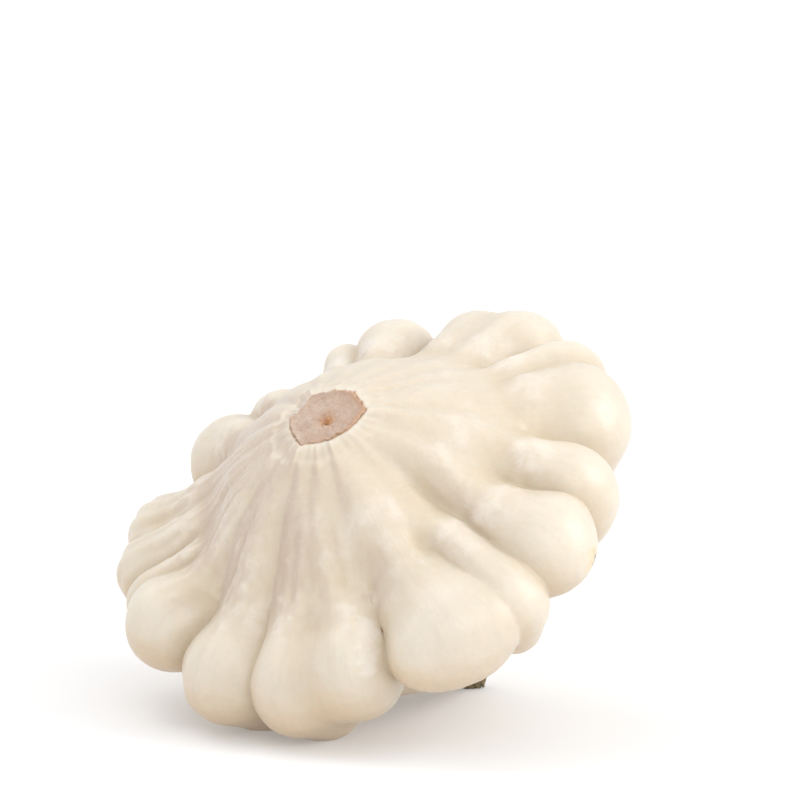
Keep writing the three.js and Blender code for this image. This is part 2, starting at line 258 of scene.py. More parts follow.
@dataclass(frozen=True)
class SquashForm:
    """The whole fruit's skin, upright and then laid over. Millimetres and degrees."""

    equator: float = -3.0
    crown: HalfEgg = HalfEgg(55, 38.5, 1.5)
    belly: HalfEgg = HalfEgg(58, 56, 1.07)
    fuller_side: Pair = (4.0, 92)
    flare_height: float = 7.0
    belly_shift: float = 3.0
    crown_join: float = 9.0
    belly_join: tuple[float, float, float] = (14, -4, -16)
    crease_width: float = 5.5
    crease_run: float = 16.0
    faint_crease: Pair = (0.5, 5)
    belly_crease_fade: float = 30.0
    lobe_inset: float = 10.0
    underside: tuple[float, float, float] = (0.5, 0.86, 3)
    lobe_angle: float = 40.0
    ring: Pair = (30, -4)
    ray: float = 75.0
    stem_seat: float = 31.6
    blossom_seat: float = -54.5
    lean: float = 37.0
    turned: float = -130.0
    rest_height: float = -48.6

    def creases(self) -> list[tuple[float, float, float]]:
        """Heading, depth and start of the crease after each lobe."""
        found = []
        for index, lobe in enumerate(LOBES):
            after = LOBES[(index + 1) % len(LOBES)]
            gap = (after.middle - lobe.middle) % TURN
            heading = lobe.middle + gap * lobe.half / (lobe.half + after.half)
            found.append((heading, *lobe.crease))
        return found

    def crease_depth(self, heading: Array, radius: Array) -> Array:
        """How far the crown and belly are cut in by their creases."""
        depth = np.zeros(np.broadcast(heading, radius).shape)
        faint = self.faint_crease[0] * np.clip(radius / 20.0, 0, 1)
        for middle, deep, start in self.creases():
            turn = turn_between(heading, middle)
            run = smooth_step(radius, start, start + self.crease_run)
            depth += deep * run * bump(np.radians(turn) * radius, self.crease_width)
            depth += faint * bump(turn, self.faint_crease[1])
        return depth

    def body_field(self, x: Array, y: Array, z: Array) -> Array:
        """Field of the crown and belly, without lobes."""
        height = z - self.equator
        top = height > 0
        radius = np.maximum(np.hypot(x, y), 1e-6)
        drop = np.maximum(np.abs(height), 1e-6)
        heading = np.degrees(np.arctan2(y, x))
        amount, side = self.fuller_side
        up_share = smooth_step(height, 0, self.flare_height)
        swell = amount * np.maximum(np.cos(np.radians(heading - side)), 0) * up_share
        flare = (self.belly.radius - self.crown.radius) * (1 - up_share)
        folds = sum(fold.cut(heading, radius) for fold in CROWN_FOLDS)
        creases = self.crease_depth(heading, radius)
        cut = np.where(top, creases + folds, creases * bump(drop, self.belly_crease_fade))
        wide = np.where(top, self.crown.radius + flare + swell, self.belly.radius)
        tall = np.where(top, self.crown.height, self.belly.height)
        power = np.where(top, self.crown.roundness, self.belly.roundness)
        across, up = radius / wide, drop / tall
        total = across**power + up**power
        steep = total ** (1 / power - 1)
        slope = np.hypot(steep * across ** (power - 1) / wide, steep * up ** (power - 1) / tall)
        return (total ** (1 / power) - 1) / slope + cut

    def lobe_field(self, lobe: Lobe, x: Array, y: Array, z: Array) -> Array:
        """Field of one lobe: a tapering knuckle, and a lower one under its tip."""
        angle = math.radians(lobe.middle)
        half_width = lobe.swell * (lobe.reach - self.lobe_inset) * math.sin(math.radians(lobe.half))
        squeeze = lobe.thick / half_width
        out = x * math.cos(angle) + y * math.sin(angle)
        side = (y * math.cos(angle) - x * math.sin(angle)) * squeeze
        tip_at = lobe.reach - lobe.thick
        inset, size, join = self.underside
        root, tip = (lobe.root[0], lobe.root[1]), (tip_at, lobe.level)
        under = (tip_at - inset * lobe.droop, lobe.level - lobe.droop)
        upper = round_cone(out, side, z, root, tip, lobe.root[2], lobe.thick)
        lower = round_cone(out, side, z, tip, under, lobe.thick, size * lobe.thick)
        return smooth_join(upper, lower, join) / max(squeeze, 1.0)

    def field(self, points: Array, headings: Array) -> Array:
        """Field of the whole fruit: negative inside, zero on the skin.

        Args:
            points: Positions, one row for each column of the mesh.
            headings: The heading of each column.

        Returns:
            The field at each point.
        """
        x, y, z = points[..., 0], points[..., 1], points[..., 2]
        deep = np.clip(z / self.blossom_seat, 0, 1)
        lobes = np.full(z.shape, 1000.0)
        for lobe in LOBES:
            near = np.abs(turn_between(headings, lobe.middle)) < self.lobe_angle
            here = self.lobe_field(lobe, x[near], y[near], z[near])
            lobes[near] = smooth_join(lobes[near], here, lobe.merge)
        width, start, end = self.belly_join
        join = self.crown_join + (width - self.crown_join) * smooth_step(-z, -start, -end)
        body = self.body_field(x, y - self.belly_shift * deep**2, z)
        return smooth_join(body, lobes, join)

    def skin(self, headings: Array, slopes: Array, halvings: int) -> Array:
        """Points of the skin for every heading and slope, found by halving.

        Args:
            headings: Headings of the columns.
            slopes: Slopes of the rows, from 90 (up) to -90 (down).
            halvings: How often each ray is halved.

        Returns:
            Positions, as columns by rows by 3.
        """
        turn, tilt = np.radians(headings)[:, None], np.radians(slopes)[None, :]
        flat = np.cos(tilt)
        rays = np.stack([flat * np.cos(turn), flat * np.sin(turn), np.sin(tilt) + 0 * turn], -1)
        starts = rays * (self.ring[0], self.ring[0], 0) + (0, 0, self.ring[1])
        inside = np.zeros(rays.shape[:-1])
        outside = np.full(rays.shape[:-1], self.ray)
        for _ in range(halvings):
            middle = (inside + outside) / 2
            within = self.field(starts + rays * middle[..., None], headings) < 0
            inside = np.where(within, middle, inside)
            outside = np.where(within, outside, middle)
        return starts + rays * inside[..., None]

    def pose(self) -> Array:
        """The 3 by 3 turn that lays an upright piece over."""
        lean = Matrix.Rotation(math.radians(self.lean), 3, "Y")
        return np.array(Matrix.Rotation(math.radians(self.turned), 3, "Z") @ lean)

    def lay_down(self, points: Array, place: Array) -> Array:
        """Lays points over, sets them on the table and presses flat what is below it.

        Args:
            points: Upright positions, in millimetres.
            place: Where the middle of the fruit stands on the table, in metres.

        Returns:
            Positions in the row frame, in metres.
        """
        laid = points @ self.pose().T
        laid[..., 2] = np.maximum(laid[..., 2] - self.rest_height, 0.0)
        return laid * MM + (place[0], place[1], 0.0)


# ---------------------------------------------------------------- meshes


def grid_normals(points: Array) -> Array:
    """Outward unit normals of a grid that closes round its first axis."""
    round_way = np.roll(points, -1, 0) - np.roll(points, 1, 0)
    down_way = np.gradient(points, axis=1)
    normals = np.cross(down_way, round_way)
    return normals / np.maximum(np.linalg.norm(normals, axis=-1, keepdims=True), 1e-9)


def grid_blur(values: Array, passes: int) -> Array:
    """Evens a grid out with its four neighbours, a number of times."""
    for _ in range(passes):
        down = np.concatenate([values[:, :1], values[:, :-1]], 1)
        up = np.concatenate([values[:, 1:], values[:, -1:]], 1)
        values = (2 * values + np.roll(values, 1, 0) + np.roll(values, -1, 0) + down + up) / 6
    return values


@dataclass
class RingMesh:
    """A closed mesh through columns of points that run from one pole to the other."""

    name: str
    points: Array
    first: Array
    last: Array
    marks: dict[str, Array] = field(default_factory=dict)

    def build(self) -> bpy.types.Object:
        """Makes the object, smooth shaded, with each mark as an attribute.

        Returns:
            The new object, linked to the scene.
        """
        columns, rows = self.points.shape[:2]
        here = np.arange(columns)
        after = (here + 1) % columns
        ring = 1 + np.arange(rows)[None, :] + here[:, None] * rows
        ring_after = ring[after]
        last = 1 + columns * rows
        quads = np.stack([ring[:, :-1], ring[:, 1:], ring_after[:, 1:], ring_after[:, :-1]], -1)
        faces = [tuple(face) for face in quads.reshape(-1, 4).tolist()]
        faces += [(0, a, b) for a, b in zip(ring[:, 0].tolist(), ring_after[:, 0].tolist())]
        faces += [(a, last, b) for a, b in zip(ring[:, -1].tolist(), ring_after[:, -1].tolist())]
        spots = np.concatenate([self.first[None], self.points.reshape(-1, 3), self.last[None]])
        mesh = bpy.data.meshes.new(self.name)
        mesh.from_pydata(spots.tolist(), [], faces)
        for key, values in self.marks.items():
            self._mark(mesh, key, values)
        mesh.polygons.foreach_set("use_smooth", np.ones(len(mesh.polygons), bool))
        mesh.update()
        piece = bpy.data.objects.new(self.name, mesh)
        bpy.context.scene.collection.objects.link(piece)
        return piece

    def _mark(self, mesh: bpy.types.Mesh, key: str, values: Array) -> None:
        """Stores one number, or one vector, for every vertex."""
        vector = values.ndim == 3
        ends = [values[:, :1].mean(0), values[:, -1:].mean(0)]
        flat = values.reshape(-1, 3) if vector else values.reshape(-1)
        whole = np.concatenate([ends[0], flat, ends[1]])
        kind = "FLOAT_VECTOR" if vector else "FLOAT"
        store = mesh.attributes.new(key, kind, "POINT")
        store.data.foreach_set("vector" if vector else "value", whole.astype(np.float32).ravel())


def spaced(stops: Array, weight: Array, count: int) -> Array:
    """Values spread along stops, closer together where weight is high.

    Args:
        stops: Where the weight is given, in order.
        weight: How crowded the values are there.
        count: How many values to give.

    Returns:
        The values, from the first stop to the last.
    """
    total = np.cumsum(weight)
    total = (total - total[0]) / (total[-1] - total[0])
    return np.interp(np.linspace(0, 1, count), total, stops)


# ---------------------------------------------------------------- shader maths


class Value:
    """A socket of a node tree. Arithmetic on it adds the node that fits its kind."""

    def __init__(self, tree: "Tree", socket: bpy.types.NodeSocket) -> None:
        """Wraps an output socket of the tree."""
        self.tree = tree
        self.socket = socket

    def _with(self, operation: str, other: "Input", swapped: bool = False) -> "Value":
        """Joins this value to another with one operation."""
        pair = (other, self) if swapped else (self, other)
        return self.tree.join(operation, *pair)

    def __add__(self, other: "Input") -> "Value":
        """This plus other."""
        return self._with("ADD", other)

    def __radd__(self, other: "Input") -> "Value":
        """Other plus this."""
        return self._with("ADD", other, True)

    def __sub__(self, other: "Input") -> "Value":
        """This minus other."""
        return self._with("SUBTRACT", other)

    def __rsub__(self, other: "Input") -> "Value":
        """Other minus this."""
        return self._with("SUBTRACT", other, True)

    def __mul__(self, other: "Input") -> "Value":
        """This times other."""
        return self._with("MULTIPLY", other)

    def __rmul__(self, other: "Input") -> "Value":
        """Other times this."""
        return self._with("MULTIPLY", other, True)

    def __truediv__(self, other: "Input") -> "Value":
        """This over other."""
        return self._with("DIVIDE", other)

    def __rtruediv__(self, other: "Input") -> "Value":
        """Other over this."""
        return self._with("DIVIDE", other, True)

    def range(self, low: float, high: float, to_low: float = 0.0, to_high: float = 1.0) -> "Value":
        """Moves low to to_low and high to to_high, smoothly, and holds it between them."""
        settings = {"interpolation_type": "SMOOTHSTEP"}
        inputs = {"Value": self, "From Min": low, "From Max": high, "To Min": to_low, "To Max": to_high}
        return self.tree.node("ShaderNodeMapRange", settings, inputs)


Input = Value | float | Sequence[float]


class Blend(Enum):
    """How one colour is laid over another."""

    OVER = "MIX"
    STAIN = "MULTIPLY"


class Tree:
    """The node tree of one material, with a Principled shader as its surface."""

    MIX_FACTOR, MIX_A, MIX_B, MIX_RESULT = 0, 6, 7, 2

    def __init__(self, name: str) -> None:
        """Starts a material of this name."""
        self.material = bpy.data.materials.new(name)
        self.material.use_nodes = True
        self.tree = self.material.node_tree
        self.tree.nodes.clear()
        self.shader = self.tree.nodes.new("ShaderNodeBsdfPrincipled")
        out = self.tree.nodes.new("ShaderNodeOutputMaterial")
        self.tree.links.new(self.shader.outputs[0], out.inputs["Surface"])

    def put(self, socket: bpy.types.NodeSocket, value: Input) -> None:
        """Links a value to a socket, or sets the socket to a plain number, vector or colour."""
        if isinstance(value, Value):
            self.tree.links.new(value.socket, socket)
            return
        if socket.type in ("RGBA", "VECTOR") and isinstance(value, (int, float)):
            value = (value, value, value)
        if socket.type == "RGBA" and len(value) == 3:
            value = (*value, 1.0)
        socket.default_value = value

    def node(self, kind: str, settings: dict, inputs: dict, output: int | str = 0) -> Value:
        """Adds any node.

        Args:
            kind: Blender's name of the node's type.
            settings: Its properties, set first.
            inputs: Values or links of its sockets, by name or number.
            output: Which of its outputs to give back.

        Returns:
            The chosen output.
        """
        made = self.tree.nodes.new(kind)
        for key, value in settings.items():
            setattr(made, key, value)
        for key, value in inputs.items():
            self.put(made.inputs[key], value)
        return Value(self, made.outputs[output])

    def join(self, operation: str, a: Input, b: Input) -> Value:
        """Joins two values by one operation: Mix for colours, Vector Math for vectors, else Math."""
        kinds = [value.socket.type for value in (a, b) if isinstance(value, Value)]
        if "RGBA" in kinds:
            settings = {"data_type": "RGBA", "blend_type": operation}
            inputs = {self.MIX_FACTOR: 1.0, self.MIX_A: a, self.MIX_B: b}
            return self.node("ShaderNodeMix", settings, inputs, self.MIX_RESULT)
        kind = "ShaderNodeVectorMath" if "VECTOR" in kinds else "ShaderNodeMath"
        return self.node(kind, {"operation": operation}, {0: a, 1: b})

    def blend(self, factor: Input, under: Input, over: Input, how: Blend = Blend.OVER) -> Value:
        """Lays one colour over another by a factor."""
        settings = {"data_type": "RGBA", "blend_type": how.value, "clamp_factor": True}
        inputs = {self.MIX_FACTOR: factor, self.MIX_A: under, self.MIX_B: over}
        return self.node("ShaderNodeMix", settings, inputs, self.MIX_RESULT)

    def mark(self, name: str, vector: bool = False) -> Value:
        """Reads an attribute of the mesh."""
        output = "Vector" if vector else "Fac"
        return self.node("ShaderNodeAttribute", {"attribute_name": name}, {}, output)

    def place(self) -> Value:
        """The point in the object's own frame."""
        return self.node("ShaderNodeTexCoord", {}, {}, "Object")

    def noise(
        self, scale: float, detail: float = 3.0, coarseness: float = 0.55, at: Value | None = None
    ) -> Value:
        """Noise about a half, from 0 to 1."""
        inputs = {"Vector": at or self.place(), "Scale": scale, "Detail": detail, "Roughness": coarseness}
        return self.node("ShaderNodeTexNoise", {}, inputs, "Fac")

    def bumps(self, height: Value, distance: float, strength: float = 1.0) -> Value:
        """Turns a height into a bumped normal."""
        inputs = {"Height": height, "Distance": distance, "Strength": strength}
        return self.node("ShaderNodeBump", {}, inputs, "Normal")

    def surface(self, **inputs: Input) -> bpy.types.Material:
        """Sets the shader's sockets, named with _ for each space, and gives the material."""
        for key, value in inputs.items():
            self.put(self.shader.inputs[key.replace("_", " ")], value)
        return self.material


# ---------------------------------------------------------------- finishes


@dataclass(frozen=True)
class SkinFinish:
    """Waxy cream skin. Painted shade makes it darker and yellower in its folds, warmer under the lobes
    and where it faces away from the lamps, and rosier on the flank turned from them; painted light makes
    broad ridges paler.
    """

    cream: Colour = (0.57, 0.485, 0.37)
    # The skin's own paler mottling, also used as painted light on broad ridges.
    pale: Colour = (0.65, 0.595, 0.50)
    chalk: Colour = (0.71, 0.655, 0.59)
    # Painted shade colour for creases and hollows: darker and yellower than the skin.
    fold: Colour = (0.52, 0.41, 0.265)
    # Painted shade colour, warmer and darker, for skin that faces away from the lamps.
    warm_shade: Colour = (0.60, 0.455, 0.30)
    # Rose colour: painted shade on the flank turned from the lamps, and also random rose streaks.
    rose_streak_and_shade: Colour = (0.47, 0.365, 0.295)
    gold: Colour = (0.66, 0.48, 0.17)
    dark: Colour = (0.12, 0.09, 0.05)
    scar_edge: Colour = (0.95, 0.62, 0.38)
    depth: float = 0.3
    reach: tuple[float, float, float] = (1.0, 0.62, 0.35)
    reach_scale: float = 0.006

    def material(self) -> bpy.types.Material:
        """Builds the skin from the fruit's marks and fine mottling."""
        tree = Tree("squash_skin")
        hollow = tree.mark("hollow")
        broad = tree.mark("broad_hollow")
        strand = tree.noise(1, 4, 0.6, tree.mark("strand", True) * 30)
        cloud = tree.noise(24, 2, 0.5)
        grain = tree.noise(620, 3, 0.6)
        frost = tree.noise(240, 5, 0.7)
        colour = tree.blend(cloud.range(0.25, 0.75) * 0.4, self.cream, self.pale)
        # Painted shade: broad and narrow hollows turn darker and yellower.
        colour = tree.blend(broad.range(-0.3, 3.5) * 0.45, colour, self.fold)
        colour = tree.blend(hollow.range(0.0, 2.6) * 0.4, colour, self.fold)
        # Painted light: broad ridges turn paler.
        colour = tree.blend(broad.range(0.0, -2.2) * 0.85, colour, self.pale)
        # Painted shade: skin facing away from the lamps, as under the lobes, turns warmer and darker.
        colour = tree.blend(tree.mark("under") * 0.9, colour, self.warm_shade)
        # Painted shade: the flank turned from the lamps goes rosier and darker, in streaks.
        colour = tree.blend(tree.mark("blush") * strand.range(0.3, 0.7, 0.55, 0.8), colour, self.rose_streak_and_shade)
        # Random rose streaks, the skin's own colour.
        colour = tree.blend(strand.range(0.48, 0.72) * 0.12, colour, self.rose_streak_and_shade)
        colour = colour * grain.range(0.35, 0.72, 1.0, 0.97)
        frosted = tree.mark("crest") * frost.range(0.35, 0.65, 0.1, 1.0) * 0.55
        colour = tree.blend(frosted, colour, self.chalk)
        colour = tree.blend(tree.mark("scuff") * frost.range(0.3, 0.6, 0.15, 0.6), colour, self.chalk)
        colour = tree.blend(tree.mark("bruise") * 0.35, colour, self.gold)
        colour = tree.blend(tree.mark("nick"), colour, self.dark)
        ring = tree.mark("scar_edge") * strand.range(0.3, 0.6, 0.1, 0.6)
        colour = tree.blend(ring, colour, self.scar_edge, Blend.STAIN)
        height = grain * 0.5 + tree.noise(1500, 2) * 0.2 + strand * 1.2
        return tree.surface(
            Base_Color=colour,
            Roughness=0.40 + strand * 0.12 + hollow.range(0, 1) * 0.1,
            Subsurface_Weight=self.depth,
            Subsurface_Radius=self.reach,
            Subsurface_Scale=self.reach_scale,
            Coat_Weight=0.8,
            Coat_Roughness=0.42,
            IOR=1.42,
            Normal=tree.bumps(height, 0.00035, 0.35),
        )


@dataclass(frozen=True)
class StemFinish:
    """Dry cut stem: pinkish tan pith, a browned edge and an orange heart."""

    pith: Colour = (0.46, 0.33, 0.255)
    pale: Colour = (0.51, 0.395, 0.32)
    tan: Colour = (0.37, 0.24, 0.16)
    edge: Colour = (0.16, 0.09, 0.045)
    orange: Colour = (0.50, 0.23, 0.09)
    skin: Colour = (0.50, 0.37, 0.25)

    def material(self) -> bpy.types.Material:
        """Builds the cut face from the scar's marks."""
        tree = Tree("cut_stem")
        grain = tree.noise(900, 4, 0.7)
        patch = tree.noise(180, 3, 0.6)
        colour = tree.blend(patch.range(0.38, 0.64), self.pith, self.pale)
        colour = tree.blend(grain.range(0.52, 0.70) * 0.5, colour, self.tan)
        colour = tree.blend(tree.mark("heart"), colour, self.orange)
        colour = tree.blend(tree.mark("wall") * 0.8, colour, self.skin)
        colour = tree.blend(tree.mark("warm_edge") * 0.4, colour, self.orange)
        colour = tree.blend(tree.mark("edge") * patch.range(0.46, 0.60, 0.0, 0.8), colour, self.edge)
        colour = tree.blend(tree.mark("pit"), colour, self.edge)
        return tree.surface(
            Base_Color=colour,
            Roughness=0.72 + grain * 0.2,
            Normal=tree.bumps(grain + patch * 0.6, 0.0005, 0.6),
        )


@dataclass(frozen=True)
class BlossomFinish:
    """Dried blossom end: dark olive-brown, paler on its ridges."""

    dark: Colour = (0.05, 0.036, 0.016)
    olive: Colour = (0.16, 0.125, 0.055)
    straw: Colour = (0.34, 0.25, 0.12)

    def material(self) -> bpy.types.Material:
        """Builds the dried stub."""
        tree = Tree("dried_blossom")
        grain = tree.noise(700, 4, 0.7)
        colour = tree.blend(grain.range(0.35, 0.62), self.dark, self.olive)
        colour = tree.blend(tree.mark("ridge").range(0.2, 0.9) * 0.6, colour, self.straw)
        return tree.surface(
            Base_Color=colour, Roughness=0.6 + grain * 0.3, Normal=tree.bumps(grain, 0.0006, 0.7)
        )


@dataclass(frozen=True)
class TableFinish:
    """Matt white paper that glows as painted light, more towards its far edge."""

    white: Colour = (0.66, 0.66, 0.665)
    shade: Colour = (0.65, 0.65, 0.655)
    glow: Pair = (0.20, 0.38)
    glow_reach: Pair = (0.3, 0.9)

    def material(self) -> bpy.types.Material:
        """Builds the paper."""
        tree = Tree("white_paper")
        away = tree.node("ShaderNodeVectorMath", {"operation": "LENGTH"}, {0: tree.place()}, "Value")
        return tree.surface(
            Base_Color=tree.blend(tree.noise(9, 3), self.white, self.shade),
            Roughness=0.9,
            Specular_IOR_Level=0.1,
            # Painted light: the paper glows, more towards its far edge.
            Emission_Color=tree.blend(away.range(*self.glow_reach, *self.glow), (0, 0, 0), (1, 1, 1)),
            Emission_Strength=1.0,
        )


# ---------------------------------------------------------------- pieces


@dataclass(frozen=True)
class Ribs:
    """A patch of fine ridges that run outwards over the skin.

    The ridges have a depth in millimetres and a step in degrees. twist and sway bend them
    along their way. The patch lies about a heading, with a spread, fades in over the radii
    of rise and out over those of fall, and fades in over the heights of climb.
    """

    depth: float
    step: float
    heading: float
    spread: float
    rise: Pair
    fall: Pair = (1000, 1001)
    climb: Pair = (-1001, -1000)
    twist: float = 0.0
    sway: Pair = (0.0, 1.0)

    def height(self, turn: Array, radius: Array, z: Array) -> Array:
        """Height of the ridges at each heading, radius and height."""
        here = bump(turn_between(turn, self.heading), self.spread)
        here = here * smooth_step(radius, *self.rise) * (1 - smooth_step(radius, *self.fall))
        bend = self.twist * radius + self.sway[0] * np.sin(radius / self.sway[1])
        ridges = np.cos(np.radians(turn) * TURN / self.step + bend)
        return self.depth * here * smooth_step(z, *self.climb) * ridges


@dataclass(frozen=True)
class Patch:
    """An oval, ragged spot on the skin, at a heading and height, outside a radius."""

    heading: float
    height: float
    outside: float
    size: Pair
    raggedness: float = 0.25
    edge: Pair = (0.75, 1.15)

    def share(self, heading: Array, points: Array, ragged: Array) -> Array:
        """From 0 off the spot to 1 on it."""
        radius = np.hypot(points[..., 0], points[..., 1])
        across = np.radians(turn_between(heading[:, None], self.heading)) * radius / self.size[0]
        up = (points[..., 2] - self.height) / self.size[1]
        far = np.hypot(across, up) + self.raggedness * ragged
        return (1 - smooth_step(far, *self.edge)) * (radius > self.outside)


@dataclass
class Fruit:
    """The fruit itself: one closed skin."""

    form: SquashForm
    columns: int = 480
    rows: int = 200
    halvings: int = 18
    coarse: tuple[int, int, int] = (300, 130, 15)
    crease_crowding: Pair = (1.2, 2.2)
    row_crowding: tuple[tuple[float, float, float], ...] = ((1.6, -5, 32), (2.4, 79.5, 4), (1.0, -84, 5))
    lumps: tuple[tuple[float, float, int], ...] = ((0.3, 26, 3), (0.08, 9, 5), (0.03, 3.2, 7))
    pleats: tuple[tuple[float, float, int], ...] = ((0.26, 5.5, 11), (0.12, 2.6, 13))
    neck: tuple[Pair, Pair] = ((43, 5), (9, 6))
    ribs: tuple[Ribs, ...] = (
        Ribs(0.28, 4.6, 293, 17, (42, 50), climb=(-12, 0), twist=0.05),
        Ribs(0.16, 5.5, 338, 12, (46, 54), climb=(-14, 0)),
        Ribs(0.13, 5.0, 308, 30, (16, 28), fall=(44, 52), sway=(1.2, 5)),
    )
    collar: Pair = (2.0, 0.22)
    collar_rim: Pair = (0.95, 1.005)
    tuck: tuple[float, float, float] = (-1.4, 0.88, 0.96)
    corner_ridge: float = 0.9
    hollow_passes: tuple[int, int] = (12, 110)
    hollow_depths: Pair = (0.12, 1.2)
    sunny_side: tuple[float, float, float] = (0.35, -0.15, 0.92)
    scuff: Patch = Patch(34.8, 7.8, 50, (2.6, 3.6))
    bruise: Patch = Patch(88.0, -3.4, 60, (3.6, 5.2))
    nick: Patch = Patch(88.6, -3.2, 60, (0.8, 3.2))

    def headings(self) -> Array:
        """Headings of the columns, closer together beside each crease."""
        stops = np.linspace(0, TURN, 7201)
        weight = np.ones(stops.shape)
        amount, width = self.crease_crowding
        for middle, _, _ in self.form.creases():
            weight += amount * bump(turn_between(stops, middle), width)
        return spaced(stops, weight, self.columns + 1)[:-1]

    def slopes(self) -> Array:
        """Slopes of the rows, closer together on the lobes and by the two scars."""
        stops = np.linspace(90, -90, 3601)
        weight = np.ones(stops.shape)
        for amount, middle, width in self.row_crowding:
            weight += amount * bump(stops - middle, width)
        return spaced(stops, weight, self.rows + 2)[1:-1]

    def relief(self, headings: Array, points: Array) -> Array:
        """Height of the skin's fine unevenness above its smooth form, in millimetres."""
        radius = np.hypot(points[..., 0], points[..., 1])
        z = points[..., 2]
        turn = headings[:, None] + 0 * radius
        (neck_radius, neck_width), (neck_height, neck_rise) = self.neck
        neck = bump(radius - neck_radius, neck_width) * bump(z - neck_height, neck_rise)
        fine = sum(rib.height(turn, radius, z) for rib in self.ribs)
        return rough(self.lumps, points) + neck * rough(self.pleats, points) + fine

    def collar_rise(self, headings: Array, points: Array, outline: Outline) -> Array:
        """How far the crown's top rises to meet the cut stem, in millimetres."""
        radius = np.hypot(points[..., 0], points[..., 1])
        corner = outline(headings)[:, None]
        share = radius / corner
        height, width = self.collar
        rim = height * bump(np.maximum(share - 1.04, 0), width * 2) * smooth_step(share, *self.collar_rim)
        depth, start, end = self.tuck
        tucked = depth * (1 - smooth_step(share, start, end))
        sharp = (corner - corner.mean()) / (corner.max() - corner.min())
        ridge = self.corner_ridge * sharp * smooth_step(share, 0.9, 1.05)
        return rim + tucked + ridge * bump(np.maximum(share - 1.05, 0), 0.9)

    def marks(self, headings: Array, points: Array, outline: Outline) -> dict[str, Array]:
        """Everything that the skin's finish reads, for each point."""
        normals = grid_normals(points)
        fineness = (self.columns / 480) ** 2
        near, wide = (
            ((grid_blur(points, round(passes * fineness)) - points) * normals).sum(-1)
            for passes in self.hollow_passes
        )
        turn = np.radians(headings)[:, None] + 0 * near
        drop = np.linspace(0, 1, points.shape[1])[None, :] + 0 * near
        ragged = Waves(4, 21).at(points)
        laid = normals @ self.form.pose().T
        lit = laid @ np.array(self.sunny_side)
        radius = np.hypot(points[..., 0], points[..., 1])
        apart = 0.1 + 0.9 * smooth_step(radius, 8, 40)
        outer = 1 - smooth_step(radius, 50, 58)
        crest = smooth_step(-near, 0.01, 0.2) * smooth_step(points[..., 2], 3, 8)
        past_scar = np.maximum(radius / outline(headings)[:, None] - 1.02, 0)
        return {
            # Hollow marks: the finish paints shade into hollows and light onto broad ridges.
            "hollow": near / self.hollow_depths[0],
            "broad_hollow": wide / self.hollow_depths[1],
            "strand": np.stack([apart * np.cos(turn), apart * np.sin(turn), drop * 0.35], -1),
            # Painted shade mask: how far each point faces away from the lamps.
            "under": smooth_step(-lit, -0.2, 0.8),
            # Painted shade mask on the crown's flank that faces away from the lamps.
            "blush": smooth_step(-laid[..., 0], 0.35, 0.85) * (1 - smooth_step(radius, 42, 54)),
            "scuff": self.scuff.share(headings, points, ragged),
            "bruise": self.bruise.share(headings, points, ragged),
            "nick": self.nick.share(headings, points, ragged),
            "crest": crest * smooth_step(radius, 18, 38) * outer,
            "scar_edge": bump(past_scar, 0.06) * (points[..., 2] > 20),
        }

    def build(self, outline: Outline) -> tuple[bpy.types.Object, Array]:
        """Works out the skin and lays the fruit on the table.

        Args:
            outline: Radius of the cut stem at each heading.

        Returns:
            The fruit, and where the middle of the fruit stands, in metres.
        """
        headings = self.headings()
        points = self.form.skin(headings, self.slopes(), self.halvings)
        points[..., 2] = np.clip(points[..., 2], self.form.blossom_seat, self.form.stem_seat)
        fine = points + grid_normals(points) * self.relief(headings, points)[..., None]
        fade = smooth_step(points[..., 2], -53.5, -50)[..., None]
        points = points + (fine - points) * fade
        near_top = smooth_step(points[..., 2], 15, 25)
        points[..., 2] += self.collar_rise(headings, points, outline) * near_top
        marks = self.marks(headings, points, outline)
        low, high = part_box("fruit")
        laid = points.reshape(-1, 3) @ self.form.pose().T * MM
        centre = (laid.min(0) + laid.max(0)) / 2
        place = np.array((low + high) / 2)[:2] - centre[:2]
        top = np.array([0, 0, points[:, 0, 2].mean()])
        bottom = np.array([0, 0, points[:, -1, 2].mean()])
        lie = self.form.lay_down
        laid_down = lie(points, place), lie(top, place), lie(bottom, place)
        piece = RingMesh("fruit_skin", *laid_down, marks).build()
        piece.data.materials.append(SkinFinish().material())
        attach(piece, "root")
        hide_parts("fruit")
        return piece, place


